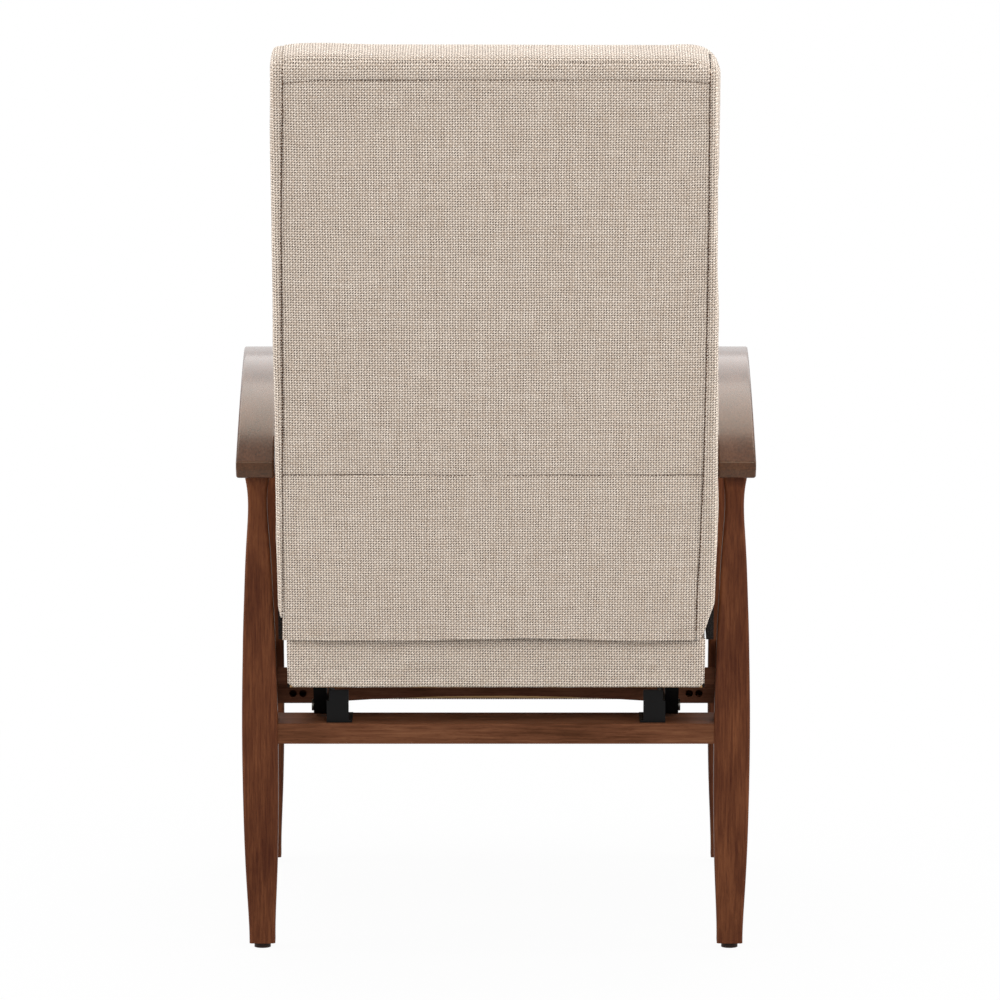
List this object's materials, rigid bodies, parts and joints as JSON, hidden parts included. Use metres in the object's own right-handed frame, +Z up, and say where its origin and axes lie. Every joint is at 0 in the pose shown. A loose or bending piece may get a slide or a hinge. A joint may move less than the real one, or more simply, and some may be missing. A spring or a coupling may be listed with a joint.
{
  "type": "pushback recliner",
  "caption": "Upholstered pushback recliner with exposed bow arms and legs of wood, reclining back and a folding footrest.",
  "frame": {"origin": "centre of the overall box, on the floor under the glides", "axes": "+Z up, +Y to the back of the chair, +X to the sitter's left"},
  "size_m": [0.644, 0.8546, 1.0826],
  "materials": {
    "dark_wood": "satin",
    "frame_wood": "matte",
    "black_steel": "satin",
    "zinc_steel": "satin",
    "spring_steel": "satin",
    "woven_cloth": "matte",
    "black_lining": "matte",
    "webbing": "matte",
    "nylon": "matte"
  },
  "bodies": {
    "frame": {"arm_left": "dark_wood", "arm_right": "dark_wood", "base_pins": "zinc_steel", "base_rails": "black_steel", "base_screws": "zinc_steel", "foot_glides": "nylon", "frame_dowels": "frame_wood", "front_leg_left": "dark_wood", "front_leg_right": "dark_wood", "middle_board": "dark_wood", "rear_leg_left": "dark_wood", "rear_leg_right": "dark_wood", "side_rail_left": "dark_wood", "side_rail_right": "dark_wood", "stretcher": "dark_wood"},
    "front_rocker_pair": {"front_rockers": "black_steel"},
    "rear_rocker_pair": {"rear_rockers": "black_steel"},
    "seat": {"seat_corner_blocks": "frame_wood", "seat_deck_rail": "frame_wood", "seat_front_border": "woven_cloth", "seat_front_rail": "frame_wood", "seat_pad": "woven_cloth", "seat_pivot_pins": "zinc_steel", "seat_plate_screws": "zinc_steel", "seat_rear_border": "woven_cloth", "seat_rear_strip": "frame_wood", "seat_side_borders": "woven_cloth", "seat_side_linings": "black_lining", "seat_side_plates": "black_steel", "seat_side_rails": "frame_wood", "seat_spring_clips": "spring_steel", "seat_springs": "spring_steel"},
    "back": {"back_bottom_rail": "frame_wood", "back_bracket_screws": "zinc_steel", "back_brackets": "black_steel", "back_flap": "woven_cloth", "back_lining": "black_lining", "back_middle_rail": "frame_wood", "back_panel": "woven_cloth", "back_posts": "frame_wood", "back_side_pad_left": "woven_cloth", "back_side_pad_right": "woven_cloth", "back_top_rail": "frame_wood", "back_top_roll": "woven_cloth", "back_webbing": "webbing", "head_bolster": "woven_cloth", "lumbar_bolster": "woven_cloth", "middle_bolster": "woven_cloth"},
    "front_link_pair": {"footrest_front_links": "black_steel", "footrest_knee_pins": "zinc_steel"},
    "rear_link_pair": {"footrest_rear_links": "black_steel", "footrest_rear_pins": "zinc_steel"},
    "carrier": {"footrest_carriers": "black_steel", "footrest_cross_bar": "black_steel", "footrest_tip_pins": "zinc_steel"},
    "footrest": {"footrest_brackets": "black_steel", "footrest_board": "frame_wood", "footrest_pad": "woven_cloth"}
  },
  "joints": [
    {"name": "seat_glide", "type": "hinge", "parent": "frame", "child": "front_rocker_pair", "pos_m": [0, -0.15025, 0.285], "axis": [1, 0, 0], "range_deg": [0, 50]},
    {"name": "rear_rocker_swing", "type": "hinge", "parent": "frame", "child": "rear_rocker_pair", "pos_m": [0, 0.16775, 0.285], "axis": [1, 0, 0], "range_deg": [0, 50]},
    {"name": "seat_on_rocker", "type": "hinge", "parent": "front_rocker_pair", "child": "seat", "pos_m": [0, -0.12827, 0.33213], "axis": [1, 0, 0], "range_deg": [-50, 0]},
    {"name": "back_recline", "type": "hinge", "parent": "seat", "child": "back", "pos_m": [0, 0.18975, 0.35], "axis": [-1, 0, 0], "range_deg": [0, 28]},
    {"name": "front_link_swing", "type": "hinge", "parent": "seat", "child": "front_link_pair", "pos_m": [0, -0.30025, 0.3], "axis": [-1, 0, 0], "range_deg": [0, 130]},
    {"name": "rear_link_swing", "type": "hinge", "parent": "seat", "child": "rear_link_pair", "pos_m": [0, -0.34391, 0.31089], "axis": [-1, 0, 0], "range_deg": [0, 130]},
    {"name": "carrier_on_links", "type": "hinge", "parent": "front_link_pair", "child": "carrier", "pos_m": [0, -0.20833, 0.22287], "axis": [-1, 0, 0], "range_deg": [-130, 0]},
    {"name": "footrest_turn", "type": "hinge", "parent": "carrier", "child": "footrest", "pos_m": [0, -0.36648, 0.2623], "axis": [-1, 0, 0], "range_deg": [0, 85]}
  ],
  "couplings": [
    {"joint": "rear_rocker_swing", "follows": "seat_glide", "ratio": 1},
    {"joint": "seat_on_rocker", "follows": "seat_glide", "ratio": -1},
    {"joint": "back_recline", "follows": "seat_glide", "ratio": 0.56},
    {"joint": "front_link_swing", "follows": "seat_glide", "ratio": 2.6},
    {"joint": "rear_link_swing", "follows": "seat_glide", "ratio": 2.6},
    {"joint": "carrier_on_links", "follows": "seat_glide", "ratio": -2.6},
    {"joint": "footrest_turn", "follows": "seat_glide", "ratio": 1.7}
  ]
}
